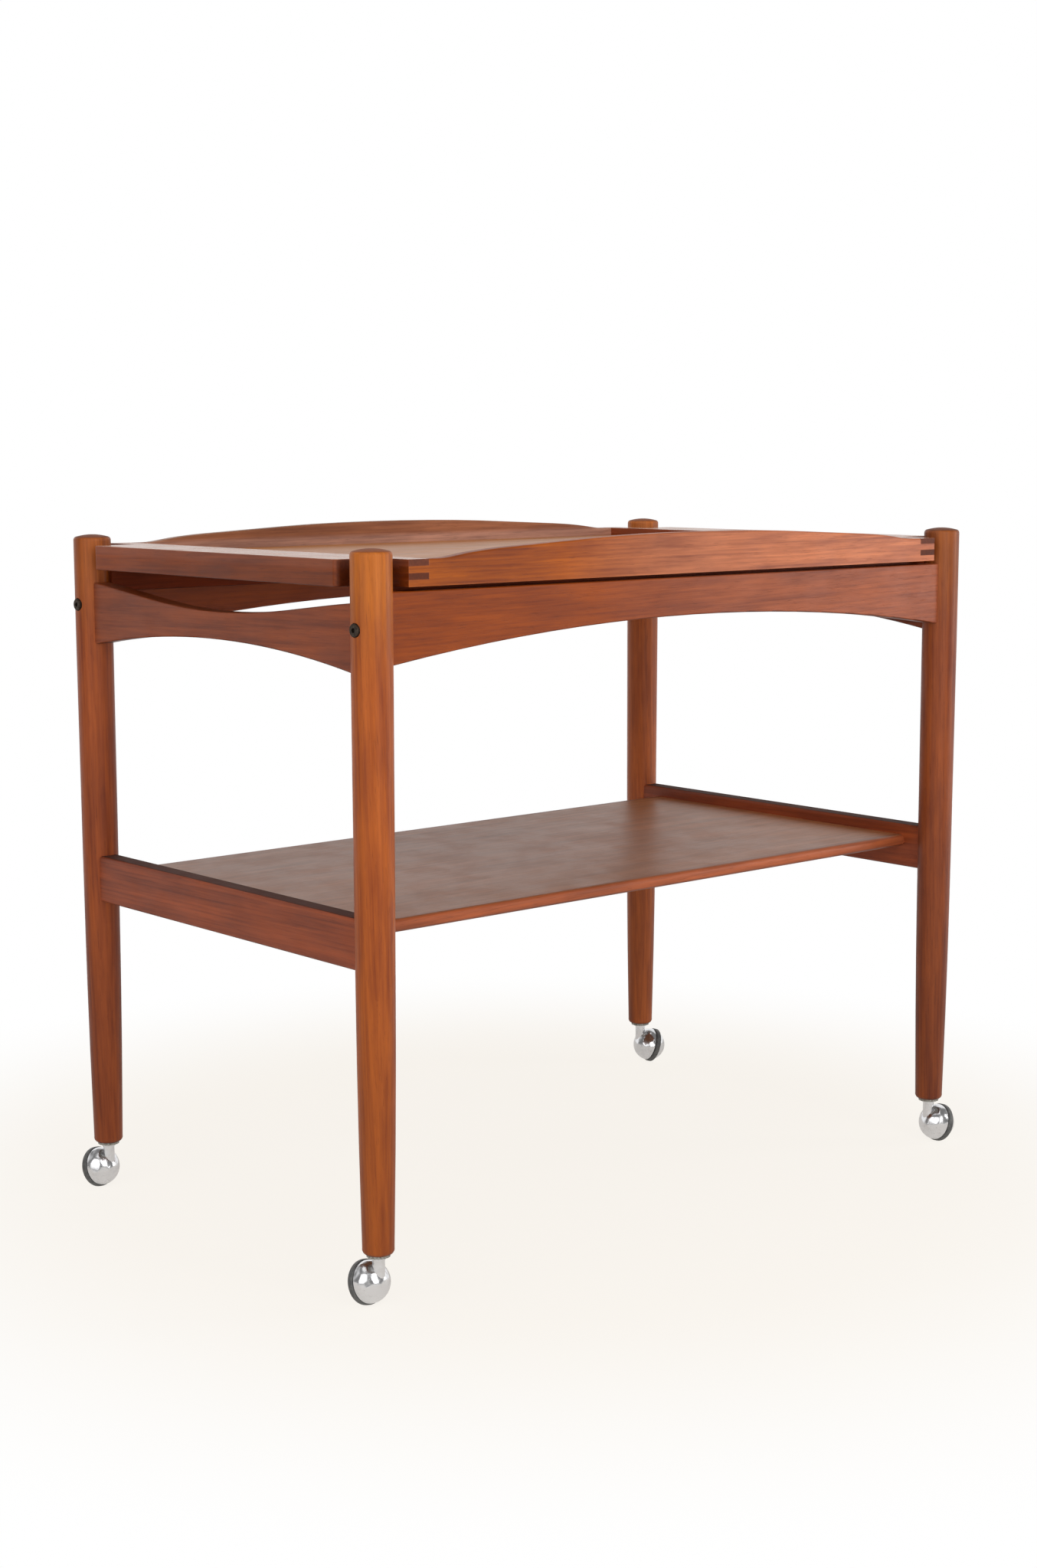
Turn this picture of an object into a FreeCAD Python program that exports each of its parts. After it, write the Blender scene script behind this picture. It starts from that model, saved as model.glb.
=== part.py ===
import FreeCAD, Part
import math
import os

# A wooden serving trolley: four turned legs on ball casters, a lower shelf and a crowned tray that lifts off.
# Millimetres. +Z is up, X runs along the long sides, Y across them, front is -Y and left is -X.
# The origin is on the floor, midway between the four legs.

Vector = FreeCAD.Vector
UP = Vector(0, 0, 1)
ALONG = Vector(1, 0, 0)
ACROSS = Vector(0, 1, 0)

# Layout, between the axes of the legs
leg_spacing_x = 746.0
leg_spacing_y = 446.0

# Turned legs, straight at the top under a low dome and tapering gently to a rounded foot
leg_bottom_z = 49.5
leg_length = 610.0
leg_radius = 18.0
leg_foot_radius = 11.5
leg_top_crown = 3.0
leg_top_round = 3.5
foot_bulge_share = 0.7
# Height from the foot as a share of the length, and the radius there as a share of the leg's radius
leg_taper_shares = ((0.008, 0.787), (0.086, 0.840), (0.220, 0.912), (0.378, 0.954), (0.575, 0.978), (0.804, 1.0))

# Aprons under the tray, with their top edges a drop below the tops of the legs
apron_thickness = 18.0
apron_edge_round = 1.5
long_apron_drop = 36.8
long_apron_end_height = 61.7
long_apron_arch_rise = 26.0
end_apron_drop = 46.3
end_apron_end_height = 59.2
end_apron_arch_rise = 16.8
end_apron_dip = 17.4
# Place along the half span and height within the dip of the end apron's hollow top
end_apron_top_shares = ((1.0, 1.0), (0.72, 0.64), (0.45, 0.28))

# Strips inside the long aprons that carry the tray
runner_thickness = 12.0
runner_height = 22.0
runner_edge_round = 2.0

# Lower shelf between two end rails
shelf_top_z = 332.7
shelf_thickness = 12.0
shelf_width = 379.4
shelf_lipping_width = 11.0
shelf_lipping_round = 5.2
shelf_rail_thickness = 20.0
shelf_rail_height = 45.7
shelf_rail_rise = 11.5
shelf_rail_round = 3.0

# Lift-off tray: crowned sides finger-jointed into wide ends that are notched round the legs
tray_drop = 33.0
tray_end_height = 23.2
tray_side_overhang = 14.0
tray_side_thickness = 13.0
tray_side_crown = 14.9
tray_side_round = 2.0
tray_shoulder_length = 33.0
# Place along the half span of the crown, from its end to near the middle, and height within the crown
tray_crown_shares = ((0.92, 0.165), (0.64, 0.596), (0.40, 0.845))
tray_end_overhang = 15.5
tray_end_corner_round = 5.0
tray_end_edge_round = 1.5
tray_tongue_width = 22.0
notch_clearance_x = 10.8
notch_clearance_y = 10.3
finger_count = 4
tray_panel_thickness = 8.0
tray_panel_rise = 14.7
tray_panel_rebate = 2.5
tray_panel_gap = 0.3
tray_groove_depth = 5.0
tray_groove_gap = 0.3

# Dowels, glued in with a thin line all round
dowel_radius = 4.0
dowel_length = 30.0
dowel_axis_gap = 6.0
glue_line = 0.1
long_apron_dowel_pitch = 34.0
end_apron_dowel_pitch = 30.0
shelf_rail_dowel_pitch = 22.0
shelf_dowel_radius = 3.0
shelf_dowel_length = 26.0
shelf_dowel_rail_depth = 12.0
shelf_dowel_pitch = 120.0

# Cross-bolted joints that hold the long aprons to the legs
bolt_radius = 3.0
bolt_hole_gap = 0.3
bolt_head_radius = 5.8
bolt_head_height = 3.0
bolt_head_round = 1.0
bolt_seat_depth = 1.4
bolt_seat_gap = 0.5
bolt_tip_overrun = 4.0
bolt_key_width = 4.0
bolt_key_depth = 1.8
bolt_thread_gap = 0.05
barrel_nut_radius = 5.0
barrel_nut_length = 14.0
barrel_nut_reach = 45.0
barrel_nut_gap = 0.05

# Ball casters: a hood on a swivelling stem, and a wheel on an axle that leans down and outwards
caster_trail = 12.0
axle_tilt_deg = 17.0
swivel_angles_deg = {"front_left": 97.0, "back_left": 105.0, "front_right": -12.0, "back_right": -22.0}
hood_radius = 19.0
hood_wall = 1.8
hood_boss_radius = 5.5
seam_gap = 1.0
tread_radius = 20.0
tread_width = 6.0
tread_round = 1.5
tread_depth = 3.5
wheel_dome_radius = 18.6
axle_radius = 3.0
axle_running_gap = 0.06
axle_wheel_reach = 12.0
axle_hood_reach = 12.0
axle_end_gap = 0.3
neck_radius = 5.6
neck_flange_radius = 6.5
neck_flange_height = 2.0
swivel_gap = 0.3
stem_radius = 4.0
stem_running_gap = 0.06
stem_reach = 30.0
stem_root_depth = 8.0
stem_tip_round = 1.2
stem_groove_depth = 0.6
stem_groove_width = 2.0
stem_groove_drop = 6.0
socket_collar_radius = 10.5
socket_collar_height = 2.5
socket_notch_count = 20
socket_notch_radius = 0.7
socket_wall = 1.4
socket_top_thickness = 1.5
socket_top_gap = 0.5
socket_glue_line = 0.1

# How far a cutting tool runs past what it cuts
overrun = 3.0

# How near an edge lies to the place by which it is picked out for rounding
edge_match = 0.03

# The share of a square corner's diagonal at which a quarter circle crosses it
quarter_share = math.sqrt(0.5)

CORNERS = {"front_left": (-1, -1), "back_left": (-1, 1), "front_right": (1, -1), "back_right": (1, 1)}
FRONT_BACK = {"front": -1, "back": 1}
LEFT_RIGHT = {"left": -1, "right": 1}
HEXAGON_SIDES = 6

half_x = leg_spacing_x / 2
half_y = leg_spacing_y / 2
leg_top_z = leg_bottom_z + leg_length
long_apron_top_z = leg_top_z - long_apron_drop
end_apron_top_z = leg_top_z - end_apron_drop
tray_bottom_z = leg_top_z - tray_drop
tray_panel_top_z = tray_bottom_z + tray_panel_rise


# General shapes


def line(start, end):
    return Part.LineSegment(start, end).toShape()


def arc(start, middle, end):
    return Part.Arc(start, middle, end).toShape()


def quarter_arc(start, corner, end):
    centre = start + end - corner
    return arc(start, centre + (corner - centre) * quarter_share, end)


def domed_arc(rim, top):
    # The arc of a low dome, from its rim up to its top on the Z axis.
    crown = top.z - rim.z
    sphere_radius = (rim.x * rim.x + crown * crown) / (2 * crown)
    half_angle = math.asin(rim.x / sphere_radius) / 2
    centre = top - UP * sphere_radius
    middle = centre + Vector(math.sin(half_angle), 0, math.cos(half_angle)) * sphere_radius
    return arc(rim, middle, top)


def polyline(points):
    return [line(start, end) for start, end in zip(points, points[1:])]


def smooth_curve(points, start_tangent=None, end_tangent=None):
    curve = Part.BSplineCurve()
    if start_tangent is None:
        curve.interpolate(points)
    else:
        curve.interpolate(Points=points, InitialTangent=start_tangent, FinalTangent=end_tangent)
    return curve.toShape()


def block(x_span, y_span, z_span):
    low = Vector(min(x_span), min(y_span), min(z_span))
    high = Vector(max(x_span), max(y_span), max(z_span))
    size = high - low
    return Part.makeBox(size.x, size.y, size.z, low)


def rod(radius, start, direction, length):
    return Part.makeCylinder(radius, length, start, direction)


def prism(edges, sweep):
    return Part.Face(Part.Wire(edges)).extrude(sweep)


def turned(edges, axis=UP):
    return Part.Face(Part.Wire(edges)).revolve(Vector(), axis, 360)


def moved(shape, offset):
    copy = shape.copy()
    copy.translate(offset)
    return copy


def mirrored_in_x(shape):
    return shape.mirror(Vector(), ALONG)


def mirrored_in_y(shape):
    return shape.mirror(Vector(), ACROSS)


def rounded(shape, radius, wanted):
    edges = [edge for edge in shape.Edges if wanted(edge)]
    return shape.makeFillet(radius, edges)


def level_edge(edge, z_levels):
    box = edge.BoundBox
    return any(abs(box.ZMin - z) < edge_match and abs(box.ZMax - z) < edge_match for z in z_levels)


def leg_place(corner):
    side_x, side_y = CORNERS[corner]
    return Vector(side_x * half_x, side_y * half_y, 0)


# Joints between the wooden pieces: each is a list of rods, with a gap for the holes


def apron_bolt_z():
    return long_apron_top_z - long_apron_end_height / 2


def pair_about(middle, pitch):
    return (middle - pitch / 2, middle + pitch / 2)


def long_apron_dowels(gap=0):
    rods = []
    for corner, (side_x, side_y) in CORNERS.items():
        for z in pair_about(apron_bolt_z(), long_apron_dowel_pitch):
            inwards = ALONG * -side_x
            start = leg_place(corner) + UP * z + inwards * (dowel_axis_gap - gap)
            rods.append(rod(dowel_radius + gap, start, inwards, dowel_length + gap * 2))
    return rods


def rail_dowels(middle_z, pitch, gap):
    rods = []
    for corner, (side_x, side_y) in CORNERS.items():
        for z in pair_about(middle_z, pitch):
            inwards = ACROSS * -side_y
            start = leg_place(corner) + UP * z + inwards * (dowel_axis_gap - gap)
            rods.append(rod(dowel_radius + gap, start, inwards, dowel_length + gap * 2))
    return rods


def end_apron_dowels(gap=0):
    return rail_dowels(end_apron_top_z - end_apron_end_height / 2, end_apron_dowel_pitch, gap)


def shelf_rail_dowels(gap=0):
    return rail_dowels(shelf_rail_top_z() - shelf_rail_height / 2, shelf_rail_dowel_pitch, gap)


def shelf_dowels(gap=0):
    rods = []
    for side_x in LEFT_RIGHT.values():
        for y in (-shelf_dowel_pitch, 0, shelf_dowel_pitch):
            outer_x = side_x * (shelf_half_length() + shelf_dowel_rail_depth + gap)
            start = Vector(outer_x, y, shelf_top_z - shelf_thickness / 2)
            rods.append(rod(shelf_dowel_radius + gap, start, ALONG * -side_x, shelf_dowel_length + gap * 2))
    return rods


def bolt_seat_x():
    # Distance from the leg's axis out to the flat that the bolt's head sits on.
    return leg_radius - bolt_seat_depth


def apron_bolt_holes():
    holes = []
    for corner, (side_x, side_y) in CORNERS.items():
        centre = leg_place(corner) + UP * apron_bolt_z()
        outwards = ALONG * side_x
        start = centre + outwards * (leg_radius + overrun)
        length = leg_radius + overrun + barrel_nut_reach + barrel_nut_radius + bolt_tip_overrun * 2
        holes.append(rod(bolt_radius + bolt_hole_gap, start, -outwards, length))
        seat = centre + outwards * bolt_seat_x()
        holes.append(rod(bolt_head_radius + bolt_seat_gap, seat, outwards, bolt_seat_depth + overrun))
    return holes


def apron_bolts():
    bolts = []
    for corner, (side_x, side_y) in CORNERS.items():
        centre = leg_place(corner) + UP * apron_bolt_z()
        outwards = ALONG * side_x
        seat = centre + outwards * bolt_seat_x()
        shank_length = bolt_seat_x() + barrel_nut_reach + barrel_nut_radius + bolt_tip_overrun
        shank = rod(bolt_radius, seat, -outwards, shank_length)
        head = rod(bolt_head_radius, seat, outwards, bolt_head_height)
        rim = seat + outwards * bolt_head_height
        head = rounded(head, bolt_head_round, lambda edge: abs(edge.BoundBox.Center.x - rim.x) < edge_match)
        key = hexagon_prism(bolt_key_width, rim, -outwards, bolt_key_depth)
        bolts.append(head.fuse(shank).removeSplitter().cut(key))
    return bolts


def hexagon_prism(width, centre, direction, depth):
    corner_radius = width / math.sqrt(3)
    points = []
    for step in range(HEXAGON_SIDES + 1):
        angle = math.radians(360 / HEXAGON_SIDES * step)
        points.append(centre + Vector(0, math.cos(angle) * corner_radius, math.sin(angle) * corner_radius))
    return prism(polyline(points), direction * depth)


def barrel_nuts(gap=0):
    nuts = []
    for corner, (side_x, side_y) in CORNERS.items():
        inner_y = side_y * (half_y - apron_thickness / 2)
        start = Vector(side_x * (half_x - barrel_nut_reach), inner_y, apron_bolt_z())
        nuts.append(rod(barrel_nut_radius + gap, start, ACROSS * side_y, barrel_nut_length + gap))
    return nuts


def threaded_barrel_nuts():
    threads = []
    for corner, (side_x, side_y) in CORNERS.items():
        start = leg_place(corner) + UP * apron_bolt_z()
        length = barrel_nut_reach + barrel_nut_radius + overrun
        threads.append(rod(bolt_radius + bolt_thread_gap, start, ALONG * -side_x, length))
    return [nut.cut(thread) for nut, thread in zip(barrel_nuts(), threads)]


# Legs


def leg_blank():
    taper = [Vector(leg_radius * radius, 0, leg_length * height) for height, radius in leg_taper_shares]
    foot = Vector(leg_foot_radius, 0, 0)
    ankle = taper[0]
    bulge = Vector(
        leg_foot_radius + (ankle.x - leg_foot_radius) * foot_bulge_share,
        0,
        ankle.z * (1 - foot_bulge_share),
    )
    rim_z = leg_length - leg_top_crown
    rim = Vector(leg_radius, 0, rim_z)
    top = Vector(0, 0, leg_length)
    edges = [
        line(Vector(), foot),
        arc(foot, bulge, ankle),
        smooth_curve(taper),
        line(taper[-1], rim),
        domed_arc(rim, top),
        line(top, Vector()),
    ]
    blank = rounded(turned(edges), leg_top_round, lambda edge: level_edge(edge, (rim_z,)))
    return moved(blank, UP * leg_bottom_z)


def socket_depth():
    return stem_reach + socket_top_gap + socket_top_thickness


def make_legs():
    blank = leg_blank()
    bore_radius = stem_radius + stem_running_gap + socket_wall + socket_glue_line
    bore = rod(bore_radius, UP * (leg_bottom_z - overrun), UP, socket_depth() + overrun + socket_glue_line)
    holes = apron_bolt_holes() + long_apron_dowels(glue_line) + end_apron_dowels(glue_line)
    holes = Part.Compound(holes + shelf_rail_dowels(glue_line))
    legs = {}
    for corner in CORNERS:
        legs["leg_" + corner] = moved(blank.cut(bore), leg_place(corner)).cut(holes)
    return legs


def all_leg_blanks():
    blank = leg_blank()
    return Part.Compound([moved(blank, leg_place(corner)) for corner in CORNERS])


# Aprons


def make_long_apron():
    # The front apron about the trolley's middle line, arched underneath from leg to leg.
    bottom_z = long_apron_top_z - long_apron_end_height
    arch_half = half_x - leg_radius
    arch_start = Vector(-arch_half, 0, bottom_z)
    arch_end = Vector(arch_half, 0, bottom_z)
    crown = Vector(0, 0, bottom_z + long_apron_arch_rise)
    outer = [
        arch_end,
        Vector(half_x, 0, bottom_z),
        Vector(half_x, 0, long_apron_top_z),
        Vector(-half_x, 0, long_apron_top_z),
        Vector(-half_x, 0, bottom_z),
        arch_start,
    ]
    edges = [arc(arch_start, crown, arch_end)] + polyline(outer)
    board = prism(edges, ACROSS * apron_thickness)
    board = moved(board, ACROSS * -apron_thickness / 2)
    return rounded(board, apron_edge_round, lambda edge: edge.BoundBox.XLength > half_x)


def make_long_aprons():
    board = make_long_apron()
    holes = apron_bolt_holes() + long_apron_dowels(glue_line) + barrel_nuts(barrel_nut_gap)
    waste = Part.Compound(all_leg_blanks().Solids + holes)
    return {
        "long_apron_" + name: moved(board, ACROSS * side * half_y).cut(waste) for name, side in FRONT_BACK.items()
    }


def make_end_apron():
    # The left apron about the trolley's middle line: hollow on top for the fingers, arched underneath.
    bottom_z = end_apron_top_z - end_apron_end_height
    low_z = end_apron_top_z - end_apron_dip
    arch_half = half_y - leg_radius
    arch_start = Vector(0, -arch_half, bottom_z)
    arch_end = Vector(0, arch_half, bottom_z)
    crown = Vector(0, 0, bottom_z + end_apron_arch_rise)
    right_half = [
        Vector(0, arch_half * place, low_z + end_apron_dip * height) for place, height in end_apron_top_shares
    ]
    left_half = [Vector(0, -point.y, point.z) for point in reversed(right_half)]
    top_points = right_half + [Vector(0, 0, low_z)] + left_half
    right_side = [arch_end, Vector(0, half_y, bottom_z), Vector(0, half_y, end_apron_top_z), right_half[0]]
    left_side = [left_half[-1], Vector(0, -half_y, end_apron_top_z), Vector(0, -half_y, bottom_z), arch_start]
    edges = [arc(arch_start, crown, arch_end)] + polyline(right_side)
    edges += [smooth_curve(top_points)] + polyline(left_side)
    board = prism(edges, ALONG * apron_thickness)
    board = moved(board, ALONG * -apron_thickness / 2)
    return rounded(board, apron_edge_round, lambda edge: edge.BoundBox.YLength > half_y)


def make_end_aprons():
    board = make_end_apron()
    waste = Part.Compound(all_leg_blanks().Solids + end_apron_dowels(glue_line))
    return {
        "end_apron_" + name: moved(board, ALONG * side * half_x).cut(waste) for name, side in LEFT_RIGHT.items()
    }


def make_tray_runners():
    # They run from end apron to end apron, scribed round the legs like the aprons.
    inner_face = half_y - apron_thickness / 2
    half_length = half_x - apron_thickness / 2
    strip = block(
        (-half_length, half_length),
        (inner_face - runner_thickness, inner_face),
        (tray_bottom_z - runner_height, tray_bottom_z),
    )
    free_y = inner_face - runner_thickness
    strip = rounded(
        strip,
        runner_edge_round,
        lambda edge: edge.BoundBox.XLength > half_x and abs(edge.BoundBox.Center.y - free_y) < edge_match,
    )
    strip = strip.cut(all_leg_blanks())
    return {"tray_runner_back": strip, "tray_runner_front": mirrored_in_y(strip)}


# Shelf


def shelf_rail_top_z():
    return shelf_top_z + shelf_rail_rise


def shelf_half_length():
    return half_x - shelf_rail_thickness / 2


def make_shelf_rails():
    rail = block(
        (-shelf_rail_thickness / 2, shelf_rail_thickness / 2),
        (-half_y, half_y),
        (shelf_rail_top_z() - shelf_rail_height, shelf_rail_top_z()),
    )
    rail = rounded(rail, shelf_rail_round, lambda edge: edge.BoundBox.YLength > half_y)
    holes = shelf_rail_dowels(glue_line) + shelf_dowels(glue_line)
    waste = Part.Compound(all_leg_blanks().Solids + holes)
    return {
        "shelf_rail_" + name: moved(rail, ALONG * side * half_x).cut(waste) for name, side in LEFT_RIGHT.items()
    }


def make_shelf_panel():
    half_width = shelf_width / 2 - shelf_lipping_width
    panel = block(
        (-shelf_half_length(), shelf_half_length()),
        (-half_width, half_width),
        (shelf_top_z - shelf_thickness, shelf_top_z),
    )
    return panel.cut(Part.Compound(shelf_dowels(glue_line)))


def make_shelf_lippings():
    outer_y = shelf_width / 2
    strip = block(
        (-shelf_half_length(), shelf_half_length()),
        (outer_y - shelf_lipping_width, outer_y),
        (shelf_top_z - shelf_thickness, shelf_top_z),
    )
    strip = rounded(
        strip,
        shelf_lipping_round,
        lambda edge: edge.BoundBox.XLength > half_x and edge.BoundBox.Center.y > outer_y - edge_match,
    )
    return {"shelf_lipping_back": strip, "shelf_lipping_front": mirrored_in_y(strip)}


# Tray


def tray_side_outer_y():
    return half_y + tray_side_overhang


def tray_side_inner_y():
    return tray_side_outer_y() - tray_side_thickness


def tray_side_end_x():
    return half_x - leg_radius - notch_clearance_x


def tray_tongue_inner_x():
    return tray_side_end_x() - tray_tongue_width


def tray_rim_z():
    return tray_bottom_z + tray_end_height


def tray_panel_tongue_top_z():
    return tray_panel_top_z - tray_panel_rebate


def panel_groove():
    # The hollow that the panel's rebated edges sit in, cut out of all four sides of the tray.
    reach_x = tray_tongue_inner_x() + tray_groove_depth
    reach_y = tray_side_inner_y() + tray_groove_depth
    low_z = tray_panel_top_z - tray_panel_thickness
    return block((-reach_x, reach_x), (-reach_y, reach_y), (low_z, tray_panel_tongue_top_z() + tray_groove_gap))


def finger_slots(first):
    # Every other finger's space at the four corners, counted from the top. The other piece fills it.
    height = tray_end_height / finger_count
    slots = []
    for side_x, side_y in CORNERS.values():
        for step in range(first, finger_count, 2):
            top_z = tray_rim_z() - height * step
            top_cut = overrun if step == 0 else 0
            bottom_cut = overrun if step == finger_count - 1 else 0
            slots.append(
                block(
                    (side_x * tray_tongue_inner_x(), side_x * (tray_side_end_x() + overrun)),
                    (side_y * tray_side_inner_y(), side_y * (tray_side_outer_y() + overrun)),
                    (top_z - height - bottom_cut, top_z + top_cut),
                )
            )
    return slots


def make_tray_side():
    # The back side: flat shoulders over the finger joints, then a long shallow crown.
    end_x = tray_side_end_x()
    crown_half = end_x - tray_shoulder_length
    bottom_z = tray_bottom_z
    rim_z = tray_rim_z()
    right_half = [Vector(crown_half, 0, rim_z)]
    for place, height in tray_crown_shares:
        right_half.append(Vector(crown_half * place, 0, rim_z + tray_side_crown * height))
    left_half = [Vector(-point.x, 0, point.z) for point in reversed(right_half)]
    crown_points = right_half + [Vector(0, 0, rim_z + tray_side_crown)] + left_half
    base = [
        left_half[-1],
        Vector(-end_x, 0, rim_z),
        Vector(-end_x, 0, bottom_z),
        Vector(end_x, 0, bottom_z),
        Vector(end_x, 0, rim_z),
        right_half[0],
    ]
    edges = polyline(base) + [smooth_curve(crown_points, -ALONG, -ALONG)]
    board = prism(edges, ACROSS * tray_side_thickness)
    board = moved(board, ACROSS * tray_side_inner_y())
    return rounded(
        board,
        tray_side_round,
        lambda edge: edge.BoundBox.ZMin > rim_z - edge_match and edge.BoundBox.XLength > tray_side_round,
    )


def make_tray_sides():
    waste = Part.Compound(finger_slots(0) + [panel_groove()])
    side = make_tray_side()
    return {
        "tray_side_back": side.cut(waste),
        "tray_side_front": mirrored_in_y(side).cut(waste),
    }


def make_tray_end():
    # The right end: a wide board with its corners notched round the legs, and a tongue out to each side.
    inner_x = tray_tongue_inner_x()
    notch_x = tray_side_end_x()
    outer_x = half_x + tray_end_overhang
    notch_y = half_y - leg_radius - notch_clearance_y
    side_y = tray_side_outer_y()
    corner = tray_end_corner_round

    def at(x, y):
        return Vector(x, y, tray_bottom_z)

    front = [
        at(inner_x, side_y),
        at(inner_x, -side_y),
        at(notch_x, -side_y),
        at(notch_x, -notch_y),
        at(outer_x - corner, -notch_y),
    ]
    back = [
        at(outer_x - corner, notch_y),
        at(notch_x, notch_y),
        at(notch_x, side_y),
        at(inner_x, side_y),
    ]
    edges = polyline(front)
    edges.append(quarter_arc(front[-1], at(outer_x, -notch_y), at(outer_x, corner - notch_y)))
    edges.append(line(at(outer_x, corner - notch_y), at(outer_x, notch_y - corner)))
    edges.append(quarter_arc(at(outer_x, notch_y - corner), at(outer_x, notch_y), back[0]))
    edges += polyline(back)
    board = prism(edges, UP * tray_end_height)
    return rounded(
        board,
        tray_end_edge_round,
        lambda edge: level_edge(edge, (tray_bottom_z, tray_rim_z())) and edge.BoundBox.XMin > notch_x + overrun,
    )


def make_tray_ends():
    waste = Part.Compound(finger_slots(1) + [panel_groove()])
    end = make_tray_end()
    return {
        "tray_end_right": end.cut(waste),
        "tray_end_left": mirrored_in_x(end).cut(waste),
    }


def make_tray_panel():
    # The floor of the tray fits between its walls, over a thinner tongue all round that fills their groove.
    floor_x = tray_tongue_inner_x() - tray_panel_gap
    floor_y = tray_side_inner_y() - tray_panel_gap
    reach_x = tray_tongue_inner_x() + tray_groove_depth - tray_groove_gap
    reach_y = tray_side_inner_y() + tray_groove_depth - tray_groove_gap
    low_z = tray_panel_top_z - tray_panel_thickness
    floor = block((-floor_x, floor_x), (-floor_y, floor_y), (low_z, tray_panel_top_z))
    tongue = block((-reach_x, reach_x), (-reach_y, reach_y), (low_z, tray_panel_tongue_top_z()))
    return floor.fuse(tongue).removeSplitter()


# Ball casters, each built with its swivel axis on Z and its wheel out along +X, then turned into place


def wheel_outer_face():
    return seam_gap / 2 + tread_width


def ball_centre_z():
    # The tread's outer rounded edge is what meets the floor, so it sets the height of the ball's centre.
    tilt = math.radians(axle_tilt_deg)
    edge_along = wheel_outer_face() - tread_round
    edge_out = tread_radius - tread_round
    return edge_along * math.sin(tilt) + edge_out * math.cos(tilt) + tread_round


def tilted(shape):
    # From the axle's own line, X out through the wheel, to its lean on the caster.
    leaning = shape.copy()
    leaning.rotate(Vector(), ACROSS, axle_tilt_deg)
    return moved(leaning, Vector(caster_trail, 0, ball_centre_z()))


def on_sphere(radius, along):
    return Vector(along, 0, math.sqrt(radius * radius - along * along))


def collar_bottom_z():
    return leg_bottom_z - socket_collar_height


def make_hood():
    rim = -seam_gap / 2
    inner_radius = hood_radius - hood_wall
    boss_meets_wall = -math.sqrt(inner_radius * inner_radius - hood_boss_radius * hood_boss_radius)
    pole = Vector(-hood_radius, 0, 0)
    outer_rim = on_sphere(hood_radius, rim)
    inner_rim = on_sphere(inner_radius, rim)
    boss_root = Vector(boss_meets_wall, 0, hood_boss_radius)
    boss_tip = Vector(rim, 0, hood_boss_radius)
    edges = [
        arc(pole, on_sphere(hood_radius, -hood_radius * quarter_share), outer_rim),
        line(outer_rim, inner_rim),
        arc(inner_rim, on_sphere(inner_radius, -inner_radius * quarter_share), boss_root),
        line(boss_root, boss_tip),
        line(boss_tip, Vector(rim, 0, 0)),
        line(Vector(rim, 0, 0), pole),
    ]
    shell = turned(edges, ALONG)
    bore = rod(axle_radius, Vector(overrun, 0, 0), -ALONG, overrun + axle_hood_reach + axle_end_gap)
    shell = tilted(shell.cut(bore))
    neck_top = collar_bottom_z() - swivel_gap
    neck = rod(neck_radius, UP * ball_centre_z(), UP, neck_top - ball_centre_z())
    flange = rod(neck_flange_radius, UP * (neck_top - neck_flange_height), UP, neck_flange_height)
    hollow = Part.makeSphere(hood_radius - hood_wall / 2, Vector(caster_trail, 0, ball_centre_z()))
    stem_hole = rod(stem_radius, UP * (neck_top - stem_root_depth), UP, stem_root_depth + overrun)
    return shell.fuse(neck.fuse(flange).cut(hollow)).removeSplitter().cut(stem_hole)


def make_stem():
    bottom = collar_bottom_z() - swivel_gap - stem_root_depth
    top = leg_bottom_z + stem_reach
    groove_top = top - stem_groove_drop
    stem = rod(stem_radius, UP * bottom, UP, top - bottom)
    stem = rounded(stem, stem_tip_round, lambda edge: edge.BoundBox.ZMin > top - edge_match)
    groove = rod(stem_radius + overrun, UP * (groove_top - stem_groove_width), UP, stem_groove_width)
    core = rod(stem_radius - stem_groove_depth, UP * bottom, UP, top - bottom)
    return stem.cut(groove.cut(core))


def make_axle():
    start = Vector(-axle_hood_reach, 0, 0)
    return tilted(rod(axle_radius, start, ALONG, axle_hood_reach + axle_wheel_reach))


def make_wheel():
    inner_face = seam_gap / 2
    outer_face = wheel_outer_face()
    seat_radius = tread_radius - tread_depth
    bore_radius = axle_radius + axle_running_gap
    bore_end = axle_wheel_reach + axle_end_gap
    flange = on_sphere(wheel_dome_radius, outer_face)
    pole = Vector(wheel_dome_radius, 0, 0)
    middle = on_sphere(wheel_dome_radius, wheel_dome_radius * quarter_share)
    outline = [
        pole,
        Vector(bore_end, 0, 0),
        Vector(bore_end, 0, bore_radius),
        Vector(inner_face, 0, bore_radius),
        Vector(inner_face, 0, seat_radius),
        Vector(outer_face, 0, seat_radius),
        flange,
    ]
    return tilted(turned(polyline(outline) + [arc(flange, middle, pole)], ALONG))


def make_tread():
    inner_face = seam_gap / 2
    outer_face = wheel_outer_face()
    seat_radius = tread_radius - tread_depth
    shoulder = tread_radius - tread_round
    crown_start = Vector(inner_face + tread_round, 0, tread_radius)
    crown_end = Vector(outer_face - tread_round, 0, tread_radius)
    edges = [
        line(Vector(inner_face, 0, seat_radius), Vector(inner_face, 0, shoulder)),
        quarter_arc(Vector(inner_face, 0, shoulder), Vector(inner_face, 0, tread_radius), crown_start),
        line(crown_start, crown_end),
        quarter_arc(crown_end, Vector(outer_face, 0, tread_radius), Vector(outer_face, 0, shoulder)),
        line(Vector(outer_face, 0, shoulder), Vector(outer_face, 0, seat_radius)),
        line(Vector(outer_face, 0, seat_radius), Vector(inner_face, 0, seat_radius)),
    ]
    return tilted(turned(edges, ALONG))


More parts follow.
